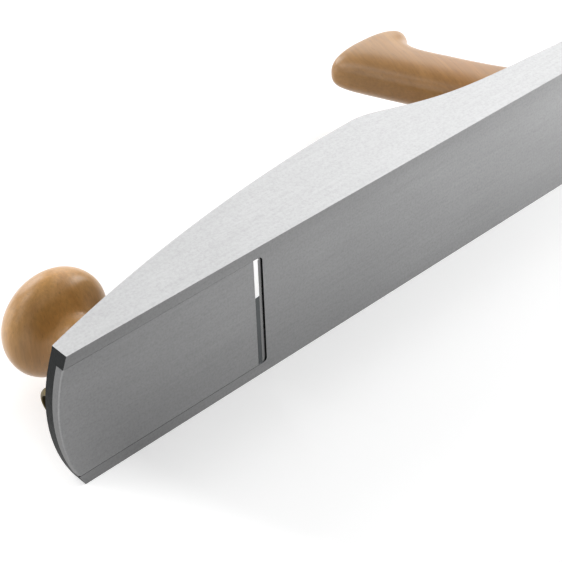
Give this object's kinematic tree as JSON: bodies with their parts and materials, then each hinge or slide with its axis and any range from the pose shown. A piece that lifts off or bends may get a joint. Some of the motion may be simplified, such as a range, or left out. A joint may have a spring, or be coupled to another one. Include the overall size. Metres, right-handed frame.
{
  "type": "low angle jack plane",
  "caption": "Bevel-up bench plane with a sliding toe plate, lever cap, depth and lateral adjuster, turned knob and tote.",
  "frame": {"origin": "middle of the overall length and height, on the right cheek's face", "axes": "+X from toe to heel, +Y from the sole to the handles, +Z from the right cheek to the left cheek"},
  "size_m": [0.381, 0.128, 0.07],
  "materials": {
    "ground_iron": "surface ground, pale grey",
    "toe_iron": "surface ground, pale grey",
    "steel": "turned",
    "dark_steel": "blackened",
    "blade_steel": "lapped and ground",
    "cap_steel": "satin, bead blasted",
    "brass": "turned and knurled",
    "washer_brass": "plain",
    "maple": "satin lacquer over torrefied maple"
  },
  "bodies": {
    "body": {"body": "ground_iron", "lever_cap_rod": "dark_steel", "pivot_bush": "washer_brass", "tote": "maple", "tote_rod": "steel", "tote_washer": "steel", "tote_nut": "brass", "tote_front_screw": "brass"},
    "toe": {"toe_plate": "toe_iron", "toe_post": "steel"},
    "knob_seat": {"knob_washer": "washer_brass"},
    "front_knob": {"knob": "maple", "knob_insert": "brass"},
    "stop_seat": {"stop_washer": "steel"},
    "stop": {"stop_screw": "brass"},
    "adjuster_pivot": {"adjuster_post": "dark_steel"},
    "adjuster": {"adjuster_spindle": "steel", "adjuster_knob": "brass", "adjuster_knob_screw": "dark_steel"},
    "feed": {"carrier": "dark_steel", "carrier_pin": "steel"},
    "iron": {"blade": "blade_steel"},
    "cap": {"lever_cap": "cap_steel"},
    "cap_foot": {"pressure_pad": "dark_steel"},
    "cap_screw": {"cap_wheel": "brass", "cap_stud": "dark_steel"}
  },
  "joints": [
    {"name": "toe_slide", "type": "slide", "parent": "body", "child": "toe", "axis": [1, 0, 0], "range_m": [-0.004, 0.0012]},
    {"name": "knob_lift", "type": "slide", "parent": "toe", "child": "knob_seat", "axis": [0, 1, 0], "range_m": [0, 0.0025]},
    {"name": "knob_turn", "type": "hinge", "parent": "knob_seat", "child": "front_knob", "pos_m": [-0.15077, -0.004, 0.035], "axis": [0, 1, 0], "range_deg": [0, 720]},
    {"name": "stop_feed", "type": "slide", "parent": "toe", "child": "stop_seat", "axis": [-1, 0, 0], "range_m": [0, 0.002]},
    {"name": "stop_turn", "type": "hinge", "parent": "stop_seat", "child": "stop", "pos_m": [-0.18267, -0.0475, 0.035], "axis": [-1, 0, 0], "range_deg": [0, 720]},
    {"name": "adjuster_swing", "type": "hinge", "parent": "body", "child": "adjuster_pivot", "pos_m": [0.06924, -0.04128, 0.035], "axis": [-0.2079, 0.9781, 0], "range_deg": [-3, 3]},
    {"name": "adjuster_turn", "type": "hinge", "parent": "adjuster_pivot", "child": "adjuster", "pos_m": [0.08537, -0.03785, 0.035], "axis": [0.9781, 0.2079, 0], "range_deg": [-360, 1080]},
    {"name": "blade_feed", "type": "slide", "parent": "adjuster_pivot", "child": "feed", "axis": [0.9781, 0.2079, 0], "range_m": [-0.0008, 0.0024]},
    {"name": "blade_swing", "type": "hinge", "parent": "feed", "child": "iron", "pos_m": [0.04525, -0.03666, 0.035], "axis": [-0.2079, 0.9781, 0], "range_deg": [-3.6, 3.6]},
    {"name": "cap_rock", "type": "hinge", "parent": "body", "child": "cap", "pos_m": [-0.02567, -0.03487, 0.035], "axis": [0, 0, -1], "range_deg": [0, 1.5]},
    {"name": "cap_foot_lift", "type": "slide", "parent": "cap", "child": "cap_foot", "axis": [-0.2079, 0.9781, 0], "range_m": [0, 0.002]},
    {"name": "cap_wheel_turn", "type": "hinge", "parent": "cap_foot", "child": "cap_screw", "pos_m": [0.01884, -0.04228, 0.035], "axis": [-0.2079, 0.9781, 0], "range_deg": [0, 720]}
  ],
  "couplings": [
    {"joint": "knob_turn", "follows": "knob_lift", "rad_per_m": 5026.5},
    {"joint": "stop_feed", "follows": "stop_turn", "m_per_rad": 0.00015915},
    {"joint": "adjuster_turn", "follows": "blade_feed", "rad_per_m": 7854},
    {"joint": "blade_swing", "follows": "adjuster_swing", "ratio": -1.1891},
    {"joint": "cap_foot_lift", "follows": "cap_wheel_turn", "m_per_rad": 0.00015915},
    {"joint": "cap_rock", "follows": "cap_wheel_turn", "ratio": 0.0020833}
  ]
}
